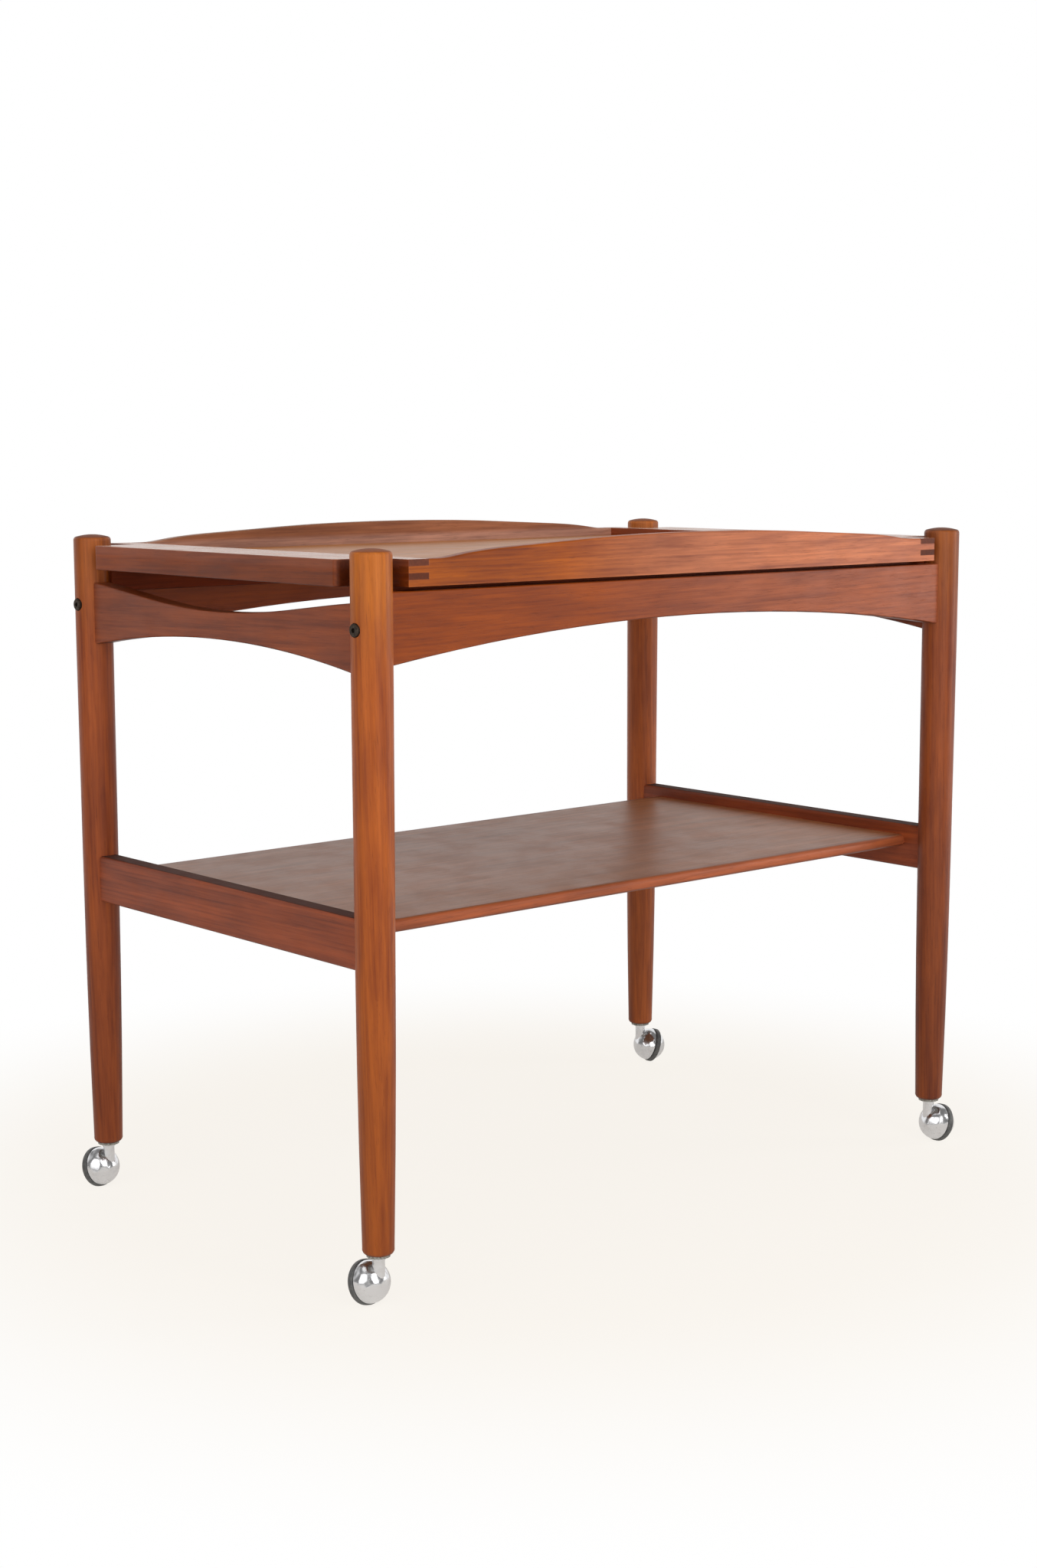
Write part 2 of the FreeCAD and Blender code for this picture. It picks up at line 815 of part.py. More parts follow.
def make_socket():
    # A sleeve in the leg's end over a collar with a serrated rim.
    bore_radius = stem_radius + stem_running_gap
    collar = rod(socket_collar_radius, UP * collar_bottom_z(), UP, socket_collar_height)
    sleeve = rod(bore_radius + socket_wall, UP * leg_bottom_z, UP, socket_depth())
    body = collar.fuse(sleeve).removeSplitter()
    notches = []
    for step in range(socket_notch_count):
        angle = math.radians(360 / socket_notch_count * step)
        place = Vector(math.cos(angle), math.sin(angle), 0) * socket_collar_radius
        start = place + UP * (collar_bottom_z() - overrun)
        notches.append(rod(socket_notch_radius, start, UP, socket_collar_height + overrun * 2))
    notches = Part.Compound([notch.common(collar) for notch in notches])
    bore_depth = socket_depth() + socket_collar_height - socket_top_thickness
    bore = rod(bore_radius, UP * (collar_bottom_z() - overrun), UP, bore_depth + overrun)
    return body.cut(bore).cut(notches)


def make_casters():
    pieces = {
        "caster_socket_": make_socket(),
        "caster_stem_": make_stem(),
        "caster_hood_": make_hood(),
        "caster_axle_": make_axle(),
        "caster_wheel_": make_wheel(),
        "caster_tread_": make_tread(),
    }
    placed = {}
    for corner in CORNERS:
        for name, piece in pieces.items():
            turned_piece = piece.copy()
            turned_piece.rotate(Vector(), UP, swivel_angles_deg[corner])
            placed[name + corner] = moved(turned_piece, leg_place(corner))
    return placed


def make_fasteners():
    return {
        "long_apron_dowels": Part.Compound(long_apron_dowels()),
        "end_apron_dowels": Part.Compound(end_apron_dowels()),
        "shelf_rail_dowels": Part.Compound(shelf_rail_dowels()),
        "shelf_dowels": Part.Compound(shelf_dowels()),
        "apron_bolts": Part.Compound(apron_bolts()),
        "barrel_nuts": Part.Compound(threaded_barrel_nuts()),
    }


def make_trolley():
    nodes = {}
    nodes.update(make_legs())
    nodes.update(make_long_aprons())
    nodes.update(make_end_aprons())
    nodes.update(make_tray_runners())
    nodes.update(make_shelf_rails())
    nodes["shelf_panel"] = make_shelf_panel()
    nodes.update(make_shelf_lippings())
    nodes.update(make_tray_sides())
    nodes.update(make_tray_ends())
    nodes["tray_panel"] = make_tray_panel()
    nodes.update(make_casters())
    nodes.update(make_fasteners())
    return nodes


os.makedirs("parts", exist_ok=True)
for node_name, node_shape in make_trolley().items():
    node_shape.exportStep("parts/" + node_name + ".step")
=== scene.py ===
from collections import namedtuple
import math

import bpy
from mathutils import Matrix, Vector

# A wooden serving trolley, dressed for a studio picture. Metres, in the same frame as the CAD: +Z up,
# X along the long sides, front is -Y and left is -X, with the origin on the floor midway between the legs.

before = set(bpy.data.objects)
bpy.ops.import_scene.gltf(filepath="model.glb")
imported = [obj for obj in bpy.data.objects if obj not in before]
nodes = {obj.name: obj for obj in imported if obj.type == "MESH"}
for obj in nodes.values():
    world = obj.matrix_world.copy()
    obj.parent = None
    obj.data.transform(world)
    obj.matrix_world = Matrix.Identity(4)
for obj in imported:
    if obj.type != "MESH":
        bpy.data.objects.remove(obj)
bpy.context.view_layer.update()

CORNERS = ("front_left", "back_left", "front_right", "back_right")
LONG_SIDES = ("front", "back")
END_SIDES = ("left", "right")


# Camera, at the place and with the lens that the photograph's own lines give

CAMERA_PLACE = Vector((-1.56293, -1.77761, 0.74104))
CAMERA_YAW = math.radians(41.017)
CAMERA_PITCH = math.radians(8.156)
CAMERA_ROLL = math.radians(-0.108)
CAMERA_NEAR = 0.05
CAMERA_FAR = 60.0
SENSOR_MM = 36.0
LENS_MM = 53.685


def make_camera():
    forward = Vector(
        (
            math.sin(CAMERA_YAW) * math.cos(CAMERA_PITCH),
            math.cos(CAMERA_YAW) * math.cos(CAMERA_PITCH),
            -math.sin(CAMERA_PITCH),
        )
    )
    level = Vector((math.cos(CAMERA_YAW), -math.sin(CAMERA_YAW), 0))
    upright = level.cross(forward)
    right = level * math.cos(CAMERA_ROLL) + upright * math.sin(CAMERA_ROLL)
    up = right.cross(forward)
    data = bpy.data.cameras.new("camera")
    data.sensor_width = SENSOR_MM
    data.lens = LENS_MM
    data.clip_start = CAMERA_NEAR
    data.clip_end = CAMERA_FAR
    camera = bpy.data.objects.new("camera", data)
    turn = Matrix((right, up, -forward)).transposed().to_4x4()
    camera.matrix_world = Matrix.Translation(CAMERA_PLACE) @ turn
    bpy.context.scene.collection.objects.link(camera)
    bpy.context.scene.camera = camera


# Colours

WHITE = (1.0, 1.0, 1.0, 1.0)
SRGB_MAX = 255
SRGB_KNEE = 0.04045
SRGB_SLOPE = 12.92
SRGB_OFFSET = 0.055
SRGB_POWER = 2.4


def linear(value):
    """An sRGB number of 0 to 255 as Blender's linear value of 0 to 1."""
    share = value / SRGB_MAX
    if share <= SRGB_KNEE:
        return share / SRGB_SLOPE
    return ((share + SRGB_OFFSET) / (1 + SRGB_OFFSET)) ** SRGB_POWER


def colour(red, green, blue):
    """A colour from its sRGB numbers."""
    return (linear(red), linear(green), linear(blue), 1.0)


def toned(shade, factor, lift=0.0):
    """A linear colour made darker or lighter."""
    return tuple(min(1.0, value * factor + lift) for value in shade[:3]) + (1.0,)


# Node graphs

# The Mix node's sockets when it mixes colours
MIX_SHARE = 0
MIX_FIRST = 6
MIX_SECOND = 7
MIX_RESULT = 2

# How a look changes along an axis: it is first up to start and last from end on
Change = namedtuple("Change", "axis start end first last")


class Graph:
    """A material's or the world's node tree, with short ways to add to it."""

    def __init__(self, owner):
        owner.use_nodes = True
        self.owner = owner
        self.tree = owner.node_tree
        self.tree.nodes.clear()

    def add(self, kind, inputs=(), output=0, **settings):
        """A new node, of which the chosen output comes back.

        inputs is {socket's name or number: a value or another node's output}.
        """
        node = self.tree.nodes.new("ShaderNode" + kind)
        for name, value in settings.items():
            setattr(node, name, value)
        for name, value in dict(inputs).items():
            if isinstance(value, bpy.types.NodeSocket):
                self.tree.links.new(value, node.inputs[name])
            else:
                node.inputs[name].default_value = value
        return node.outputs[output] if node.outputs else node

    def math(self, kind, first, second=0.0, clamp=False):
        return self.add("Math", {0: first, 1: second}, operation=kind, use_clamp=clamp)

    def plus(self, first, second, clamp=False):
        return self.math("ADD", first, second, clamp)

    def times(self, first, second):
        return self.math("MULTIPLY", first, second)

    def vector(self, kind, first, second=(0, 0, 0)):
        output = "Value" if kind in ("DOT_PRODUCT", "LENGTH") else "Vector"
        return self.add("VectorMath", {0: first, 1: second}, output, operation=kind)

    def spread(self, value, low, high, out_low=0.0, out_high=1.0):
        """value from low to high, taken smoothly to out_low to out_high and held there."""
        inputs = {"Value": value, "From Min": low, "From Max": high, "To Min": out_low, "To Max": out_high}
        return self.add("MapRange", inputs, interpolation_type="SMOOTHSTEP")

    def noise(self, place, scale, detail, rough, output=0):
        inputs = {"Vector": place, "Scale": scale, "Detail": detail, "Roughness": rough}
        return self.add("TexNoise", inputs, output)

    def drawn_noise(self, place, scales, detail, rough, output=0):
        """Noise with its own scale along each axis, so that it can be drawn out along one of them."""
        return self.noise(self.vector("MULTIPLY", place, scales), 1.0, detail, rough, output)

    def mix(self, share, first, second):
        """Two colours mixed: share 0 gives the first."""
        inputs = {MIX_SHARE: share, MIX_FIRST: first, MIX_SECOND: second}
        return self.add("Mix", inputs, MIX_RESULT, data_type="RGBA", blend_type="MIX")

    def part(self, place, axis):
        """A vector's own X, Y or Z."""
        return self.add("SeparateXYZ", {"Vector": place}, "XYZ".index(axis))

    def changing(self, place, change):
        """A value that follows a Change."""
        reach = self.part(place, change.axis)
        return self.spread(reach, change.start, change.end, change.first, change.last)

    def bump(self, height, strength, distance):
        return self.add("Bump", {"Strength": strength, "Distance": distance, "Height": height})

    def principled(self, **inputs):
        """The material's shader and output. An input's name has _ in place of each space."""
        named = {name.replace("_", " "): value for name, value in inputs.items()}
        self.add("OutputMaterial", {"Surface": self.add("BsdfPrincipled", named)})
        return self


def new_material(name):
    return Graph(bpy.data.materials.new(name))


def dress(name, graph):
    """Gives a CAD node one material."""
    mesh = nodes[name].data
    mesh.materials.clear()
    mesh.materials.append(graph.owner)


# Wood: solid growth rings round a heart that lies off to one side, with fibres, pores and end grain

# Here a noise is (scale or scales, detail, roughness), and edges are where a look starts and is full.

GRAIN_TURNS_DEG = {"X": (0, -90, 0), "Y": (90, 0, 0), "Z": (0, 0, 0)}
GRAIN_AXES = {"X": (1, 0, 0), "Y": (0, 1, 0), "Z": (0, 0, 1)}
WOOD_IOR = 1.5

# Rings, and how they run out of the board and wander along it
RING_PITCH = 0.0042
VENEER_RING_PITCH = 0.006
# How many radians a wave texture turns per metre at scale 1
WAVE_RADIANS = 20
RING_RUNOUT_DEG = (1.2, 0.8, 0.0)
WANDER_NOISE = ((7.0, 7.0, 1.1), 3.0, 0.5)
WANDER_MIDDLE = (0.5, 0.5, 0.5)
WANDER_REACH = (0.010, 0.010, 0.0)
LATE_WOOD_EDGES = (0.35, 0.97)

# Fibres and wider streaks, areas lighter and darker, and pores
FIBRE_NOISE = ((520.0, 520.0, 9.0), 4.0, 0.62)
STREAK_NOISE = ((210.0, 210.0, 9.0), 3.0, 0.55)
FIBRE_EDGES = (0.30, 0.70)
DRIFT_NOISE = ((48.0, 48.0, 9.0), 3.0, 0.6)
DRIFT_EDGES = (0.32, 0.68)
PORE_NOISE = ((1500.0, 1500.0, 55.0), 2.0, 0.5)
PORE_EDGES = (0.60, 0.70)

# How much each of them darkens the wood, and how dark a pore is
RING_SHARE = 0.14
FIBRE_SHARE = 0.252
STREAK_SHARE = 0.308
DRIFT_SHARE = 0.40
PORE_SHARE = 0.30
PORE_TONE = 0.42

# End grain, which shows on faces that look along the grain
END_EDGES = (0.55, 0.92)
END_FIBRE_EDGES = (0.35, 0.65)
END_DARK_TONE = 0.46
END_PALE_TONE = 0.92
END_SHARE = 0.72

# Faces that look down, darkened as painted shade, and faces that look up
UNDER_SHADE_EDGES = (-0.35, -0.85)
UNDER_PAINTED_SHADE = 0.50
TOP_EDGES = (0.80, 0.97)
TOP_DEEP_TONE = 0.8

# Values that leave a colour's hue and fullness as they are
NO_HUE_CHANGE = 0.5
FULL_COLOUR = 1.0

# Rubbed edges, in patches
RUB_RADIUS = 0.0016
RUB_SAMPLES = 4
RUB_EDGES = (0.995, 0.93)
PATCH_NOISE = (38.0, 3.0, 0.6)
PATCH_EDGES = (0.42, 0.62)
PATCH_SHARES = (0.35, 1.0)
WEAR_SHARE = 0.24
WEAR_TONE = 1.45
WEAR_LIFT = 0.02

# How rough the oiled face is
SOLID_ROUGHNESS = 0.40
VENEER_ROUGHNESS = 0.36
SMUDGE_NOISE = (26.0, 4.0, 0.62)
SMUDGE_EDGES = (0.35, 0.70)
SMUDGE_ROUGHNESS = 0.06
UNSMUDGED_ROUGHNESS = -0.03
FIBRE_ROUGHNESS = 0.08
END_ROUGHNESS = 0.14
WOOD_SPECULAR = 0.30
RUNNER_SPECULAR = 0.10

# Relief of fibres and pores
FIBRE_RELIEF = 0.55
PORE_RELIEF = 0.9
WOOD_BUMP = 0.35
WOOD_BUMP_DEPTH = 0.00022

# The look of faces that look straight up: a colour that paints a sheen or a shade on them, and their
# roughness
Top = namedtuple("Top", "shade share roughness")


def wood(
    name,
    grain,
    pale,
    deep,
    heart,
    ring_pitch=RING_PITCH,
    roughness=SOLID_ROUGHNESS,
    specular=WOOD_SPECULAR,
    top=None,
    fades=(),
    fullness=None,
    hue=None,
):
    """Oiled wood. heart is how far off the rings' centre lies, across the grain.

    fades are the Changes that make a board lighter or darker towards one side, on most boards painted light
    or shade.
    fullness is the Change of how full its colour is, on some boards part of a painted sheen, and hue that of
    its hue. top is the Top of its faces that look straight up, a painted sheen or painted shade.
    """
    g = new_material(name)
    place = g.add("TexCoord", output="Object")
    normal = g.add("TexCoord", output="Normal")
    turn = [math.radians(value) for value in GRAIN_TURNS_DEG[grain]]
    runout = [math.radians(value) for value in RING_RUNOUT_DEG]
    along = g.add("Mapping", {"Vector": place, "Rotation": turn})
    tilted = g.add("Mapping", {"Vector": along, "Location": (*heart, 0.0), "Rotation": runout})

    # Rings that wander slowly along the board
    wander = g.vector("SUBTRACT", g.drawn_noise(tilted, *WANDER_NOISE, output="Color"), WANDER_MIDDLE)
    bent = g.vector("ADD", tilted, g.vector("MULTIPLY", wander, WANDER_REACH))
    rings = g.add(
        "TexWave",
        {"Vector": bent, "Scale": 2 * math.pi / (WAVE_RADIANS * ring_pitch), "Distortion": 0.0},
        "Fac",
        wave_type="RINGS",
        rings_direction="Z",
        wave_profile="SAW",
    )
    # Fibres and streaks, long and fine, and whole areas lighter and darker
    fibres = g.drawn_noise(bent, *FIBRE_NOISE)
    streaks = g.drawn_noise(bent, *STREAK_NOISE)
    drift = g.drawn_noise(along, *DRIFT_NOISE)
    # Pores, short dark dashes along the grain and dots on an end
    pores = g.spread(g.drawn_noise(bent, *PORE_NOISE), *PORE_EDGES)

    tone = g.times(g.spread(rings, *LATE_WOOD_EDGES), RING_SHARE)
    tone = g.plus(tone, g.times(g.spread(fibres, *FIBRE_EDGES), FIBRE_SHARE))
    tone = g.plus(tone, g.times(g.spread(streaks, *FIBRE_EDGES), STREAK_SHARE))
    tone = g.plus(tone, g.times(g.spread(drift, *DRIFT_EDGES), DRIFT_SHARE), clamp=True)
    shade = g.mix(tone, pale, deep)
    shade = g.mix(g.times(pores, PORE_SHARE), shade, toned(deep, PORE_TONE))

    facing = g.math("ABSOLUTE", g.vector("DOT_PRODUCT", normal, GRAIN_AXES[grain]))
    end_grain = g.spread(facing, *END_EDGES)
    end_fibres = g.spread(fibres, *END_FIBRE_EDGES)
    end_shade = g.mix(end_fibres, toned(deep, END_DARK_TONE), toned(deep, END_PALE_TONE))
    shade = g.mix(g.times(end_grain, END_SHARE), shade, end_shade)

    # Painted shade on faces that look down, and lighter or darker along the board, on most boards painted
    # light or shade
    up = g.part(normal, "Z")
    painted_light_and_tone = g.spread(up, *UNDER_SHADE_EDGES, 1.0, UNDER_PAINTED_SHADE)
    for fade in fades:
        painted_light_and_tone = g.times(painted_light_and_tone, g.changing(place, fade))
    turned = {
        "Color": shade,
        "Hue": g.changing(place, hue) if hue else NO_HUE_CHANGE,
        "Saturation": g.changing(place, fullness) if fullness else FULL_COLOUR,
        "Value": painted_light_and_tone,
    }
    shade = g.add("HueSaturation", turned)
    # Faces that look up take the top's colour, a painted sheen or painted shade
    if top:
        painted_top_share = g.spread(up, *TOP_EDGES, 0.0, top.share)
        shade = g.mix(painted_top_share, shade, g.mix(tone, top.shade, toned(top.shade, TOP_DEEP_TONE)))

    # Edges rubbed a little paler
    round_normal = g.add("Bevel", {"Radius": RUB_RADIUS}, samples=RUB_SAMPLES)
    flat_normal = g.add("NewGeometry", output="Normal")
    rubbed = g.spread(g.vector("DOT_PRODUCT", round_normal, flat_normal), *RUB_EDGES)
    patchy = g.spread(g.noise(place, *PATCH_NOISE), *PATCH_EDGES, *PATCH_SHARES)
    wear = g.times(g.times(rubbed, patchy), WEAR_SHARE)
    shade = g.mix(wear, shade, toned(pale, WEAR_TONE, WEAR_LIFT))

    # Hand marks that dull the oil
    smudges = g.spread(g.noise(place, *SMUDGE_NOISE), *SMUDGE_EDGES)
    rough = g.plus(g.times(smudges, SMUDGE_ROUGHNESS), roughness + UNSMUDGED_ROUGHNESS)
    rough = g.plus(rough, g.times(fibres, FIBRE_ROUGHNESS))
    rough = g.plus(rough, g.times(end_grain, END_ROUGHNESS))
    if top:
        rough = g.plus(rough, g.times(painted_top_share, top.roughness - roughness))

    relief = g.math("SUBTRACT", g.times(fibres, FIBRE_RELIEF), g.times(pores, PORE_RELIEF))
    return g.principled(
        Base_Color=shade,
        Roughness=rough,
        IOR=WOOD_IOR,
        Specular_IOR_Level=specular,
        Normal=g.bump(relief, WOOD_BUMP, WOOD_BUMP_DEPTH),
    )


# Metal and plastic

# Bright chrome
CHROME_CLEAN = (0.80, 0.80, 0.815, 1)
CHROME_GRIMY = (0.62, 0.61, 0.60, 1)
CHROME_SPOT = (0.36, 0.34, 0.31, 1)
CHROME_WAVES = (95.0, 1.0, 0.40)
CHROME_SCRATCHES = ((900.0, 300.0, 2600.0), 3.0, 0.6)
CHROME_SCRATCH_RELIEF = 0.015
CHROME_SPOTS = (420.0, 3.0, 0.65)
CHROME_SPOT_EDGES = (0.60, 0.72)
CHROME_SPOT_SHARE = 0.30
CHROME_SPOT_ROUGHNESS = 0.18
CHROME_GRIME = (95.0, 4.0, 0.6)
CHROME_GRIME_EDGES = (0.45, 0.75)
CHROME_GRIME_SHARE = 0.35
CHROME_GRIME_ROUGHNESS = 0.16
CHROME_ROUGHNESS = 0.17
CHROME_BUMP = 0.50
CHROME_BUMP_DEPTH = 0.0042

# Steel, where each metal has its own stain scale, so a noise is only (detail, roughness) here
STAIN_DETAIL = (4.0, 0.62)
STAIN_EDGES = (0.38, 0.66)
STAIN_ROUGHNESS = 0.16
TOOTH_FINENESS = 9
TOOTH_DETAIL = (2.0, 0.5)
TOOTH_ROUGHNESS = 0.10
TOOTH_BUMP = 0.30
TOOTH_BUMP_DEPTH = 0.00015
STEEL_METALLIC = 0.9

# The casters' treads
TREAD_CLEAN = colour(84, 84, 84)
TREAD_DUSTY = colour(112, 111, 108)
TREAD_SCUFFED = colour(142, 140, 135)
TREAD_SCUFFS = (240.0, 4.0, 0.65)
TREAD_SCUFF_EDGES = (0.46, 0.68)
TREAD_SCUFF_SHARE = 0.35
TREAD_SCUFF_ROUGHNESS = 0.20
TREAD_DUST = (60.0, 3.0, 0.6)
TREAD_DUST_EDGES = (0.40, 0.70)
TREAD_DUST_SHARE = 0.5
TREAD_ROUGHNESS = 0.42
TREAD_IOR = 1.5
TREAD_BUMP = 0.35
TREAD_BUMP_DEPTH = 0.00012


def chrome(name):
    """Bright plate, faintly wavy from pressing, with fine scratches, grime and dull spots."""
    g = new_material(name)
    place = g.add("TexCoord", output="Object")
    waves = g.noise(place, *CHROME_WAVES)
    scratches = g.drawn_noise(place, *CHROME_SCRATCHES)
    spots = g.spread(g.noise(place, *CHROME_SPOTS), *CHROME_SPOT_EDGES)
    grime = g.spread(g.noise(place, *CHROME_GRIME), *CHROME_GRIME_EDGES)
    shade = g.mix(g.times(grime, CHROME_GRIME_SHARE), CHROME_CLEAN, CHROME_GRIMY)
    shade = g.mix(g.times(spots, CHROME_SPOT_SHARE), shade, CHROME_SPOT)
    rough = g.plus(g.times(grime, CHROME_GRIME_ROUGHNESS), CHROME_ROUGHNESS)
    rough = g.plus(rough, g.times(spots, CHROME_SPOT_ROUGHNESS))
    relief = g.plus(waves, g.times(scratches, CHROME_SCRATCH_RELIEF))
    bump = g.bump(relief, CHROME_BUMP, CHROME_BUMP_DEPTH)
    return g.principled(Base_Color=shade, Metallic=1.0, Roughness=rough, Normal=bump)


def dull_metal(name, clean, stained, roughness, stain_scale):
    """Plated or blackened steel with stains and a fine tooth."""
    g = new_material(name)
    place = g.add("TexCoord", output="Object")
    stains = g.spread(g.noise(place, stain_scale, *STAIN_DETAIL), *STAIN_EDGES)
    tooth = g.noise(place, stain_scale * TOOTH_FINENESS, *TOOTH_DETAIL)
    shade = g.mix(stains, clean, stained)
    rough = g.plus(g.times(stains, STAIN_ROUGHNESS), roughness)
    rough = g.plus(rough, g.times(tooth, TOOTH_ROUGHNESS))
    bump = g.bump(tooth, TOOTH_BUMP, TOOTH_BUMP_DEPTH)
    return g.principled(Base_Color=shade, Metallic=STEEL_METALLIC, Roughness=rough, Normal=bump)


def tread_plastic(name):
    """Dark grey tyre plastic, dusty and scuffed paler."""
    g = new_material(name)
    place = g.add("TexCoord", output="Object")
    scuffs = g.spread(g.noise(place, *TREAD_SCUFFS), *TREAD_SCUFF_EDGES)
    dust = g.spread(g.noise(place, *TREAD_DUST), *TREAD_DUST_EDGES)
    shade = g.mix(g.times(dust, TREAD_DUST_SHARE), TREAD_CLEAN, TREAD_DUSTY)
    shade = g.mix(g.times(scuffs, TREAD_SCUFF_SHARE), shade, TREAD_SCUFFED)
    rough = g.plus(g.times(scuffs, TREAD_SCUFF_ROUGHNESS), TREAD_ROUGHNESS)
    bump = g.bump(scuffs, TREAD_BUMP, TREAD_BUMP_DEPTH)
    return g.principled(Base_Color=shade, Roughness=rough, Normal=bump, IOR=TREAD_IOR)


# Each board's own wood

# Near the ends of the long boards
BOARD_LEFT = -0.36
BOARD_RIGHT = 0.36

LEG_LOOKS = {
    "front_left": {"pale": colour(200, 103, 32), "deep": colour(140, 60, 19), "heart": (0.42, 0.30)},
    "back_left": {"pale": colour(183, 90, 36), "deep": colour(123, 51, 20), "heart": (0.47, -0.10)},
    "front_right": {"pale": colour(172, 86, 36), "deep": colour(114, 48, 22), "heart": (-0.29, 0.34)},
    "back_right": {"pale": colour(212, 112, 50), "deep": colour(144, 66, 30), "heart": (-0.31, -0.17)},
}
# Legs are darker at the foot and lighter towards the top, a painted falloff of the light, and more golden
# towards the top
LEG_PAINTED_FALLOFF = (
    Change("Z", start=0.08, end=0.50, first=0.78, last=1.0),
    Change("Z", start=0.52, end=0.65, first=1.0, last=1.12),
)
LEG_HUE = Change("Z", start=0.53, end=0.64, first=NO_HUE_CHANGE, last=0.507)


def dress_frame():
    for corner, look in LEG_LOOKS.items():
        dress("leg_" + corner, wood("wood_leg_" + corner, "Z", **look, fades=LEG_PAINTED_FALLOFF, hue=LEG_HUE))
    # The long aprons are lighter and less full in colour towards the right, a painted sheen
    long_apron = wood(
        "wood_long_apron",
        "X",
        pale=colour(168, 84, 40),
        deep=colour(116, 51, 25),
        heart=(0.75, 0.10),
        fades=(Change("X", BOARD_LEFT, BOARD_RIGHT, first=0.98, last=1.28),),
        fullness=Change("X", BOARD_LEFT, end=0.10, first=1.14, last=0.98),
    )
    end_apron = wood(
        "wood_end_apron", "Y", pale=colour(162, 79, 38), deep=colour(108, 47, 23), heart=(-0.35, 0.75)
    )
    # The runners are darker than the aprons, painted shade of the gap they sit in
    runner = wood(
        "wood_tray_runner_shaded",
        "X",
        pale=colour(140, 56, 20),
        deep=colour(96, 36, 13),
        heart=(0.70, 0.16),
        specular=RUNNER_SPECULAR,
    )
    beech = wood(
        "wood_dowels", "X", pale=colour(206, 172, 124), deep=colour(170, 132, 88), heart=(0.20, 0.10)
    )
    for side in LONG_SIDES:
        dress("long_apron_" + side, long_apron)
        dress("tray_runner_" + side, runner)
    for side in END_SIDES:
        dress("end_apron_" + side, end_apron)
    for name in ("long_apron_dowels", "end_apron_dowels", "shelf_rail_dowels", "shelf_dowels"):
        dress(name, beech)


def dress_shelf():
    # The rails' faces that look up are dark and dull, painted shade at the rails' top
    rail = wood(
        "wood_shelf_rail",
        "Y",
        pale=colour(172, 81, 40),
        deep=colour(112, 48, 24),
        heart=(0.30, -0.24),
        top=Top(colour(66, 37, 27), share=0.85, roughness=0.78),
    )
    # The lipping's faces that look up are greyer, a painted sheen like the shelf's
    lipping = wood(
        "wood_shelf_lipping",
        "X",
        pale=colour(198, 104, 60),
        deep=colour(142, 72, 42),
        heart=(0.36, 0.12),
        top=Top(colour(166, 106, 72), share=0.9, roughness=0.36),
    )
    panel = wood(
        "veneer_shelf",
        "X",
        pale=colour(184, 119, 77),
        deep=colour(152, 98, 63),
        heart=(0.9, 0.10),
        ring_pitch=VENEER_RING_PITCH,
        roughness=VENEER_ROUGHNESS,
        fades=(Change("X", start=-0.1, end=BOARD_RIGHT, first=1.0, last=1.28),),
    )
    for side in END_SIDES:
        dress("shelf_rail_" + side, rail)
    for side in LONG_SIDES:
        dress("shelf_lipping_" + side, lipping)
    dress("shelf_panel", panel)


def dress_tray():
    # The front side is lighter and less full in colour towards the right, a painted sheen
    side_front = wood(
        "wood_tray_side_front",
        "X",
        pale=colour(199, 109, 54),
        deep=colour(131, 60, 29),
        heart=(0.55, 0.20),
        fades=(Change("X", BOARD_LEFT, BOARD_RIGHT, first=0.80, last=1.50),),
        fullness=Change("X", BOARD_LEFT, end=0.0, first=1.22, last=0.94),
    )
    # The lower half of the back side is paler and less full in colour, more so towards the right, a painted
    # reflection of the tray's floor
    side_back = wood(
        "wood_tray_side_back",
        "X",
        pale=colour(186, 122, 86),
        deep=colour(130, 78, 54),
        heart=(0.52, -0.24),
        fades=(
            Change("Z", start=0.6475, end=0.6535, first=1.32, last=0.94),
            Change("X", start=-0.15, end=0.15, first=0.92, last=1.16),
        ),
        fullness=Change("Z", start=0.6475, end=0.6535, first=0.80, last=1.05),
    )
    # Faces that look up are paler and glossier, a painted sheen as well as a real gloss; the face is darker
    # and fuller in colour towards its bottom, painted shade, and lighter towards the back
    end_board = wood(
        "wood_tray_end",
        "Y",
        pale=colour(158, 80, 44),
        deep=colour(108, 48, 24),
        heart=(0.60, 0.35),
        top=Top(colour(208, 134, 84), share=0.85, roughness=0.15),
        fades=(
            Change("Y", start=-0.02, end=0.20, first=0.92, last=1.25),
            Change("Z", start=0.634, end=0.647, first=0.80, last=1.0),
        ),
        fullness=Change("Z", start=0.629, end=0.645, first=1.40, last=1.0),
    )
    panel = wood(
        "veneer_tray",
        "X",
        pale=colour(217, 145, 86),
        deep=colour(184, 118, 66),
        heart=(1.1, 0.15),
        ring_pitch=VENEER_RING_PITCH,
        roughness=VENEER_ROUGHNESS,
    )
    for side in END_SIDES:
        dress("tray_end_" + side, end_board)
    dress("tray_side_front", side_front)
    dress("tray_side_back", side_back)
    dress("tray_panel", panel)


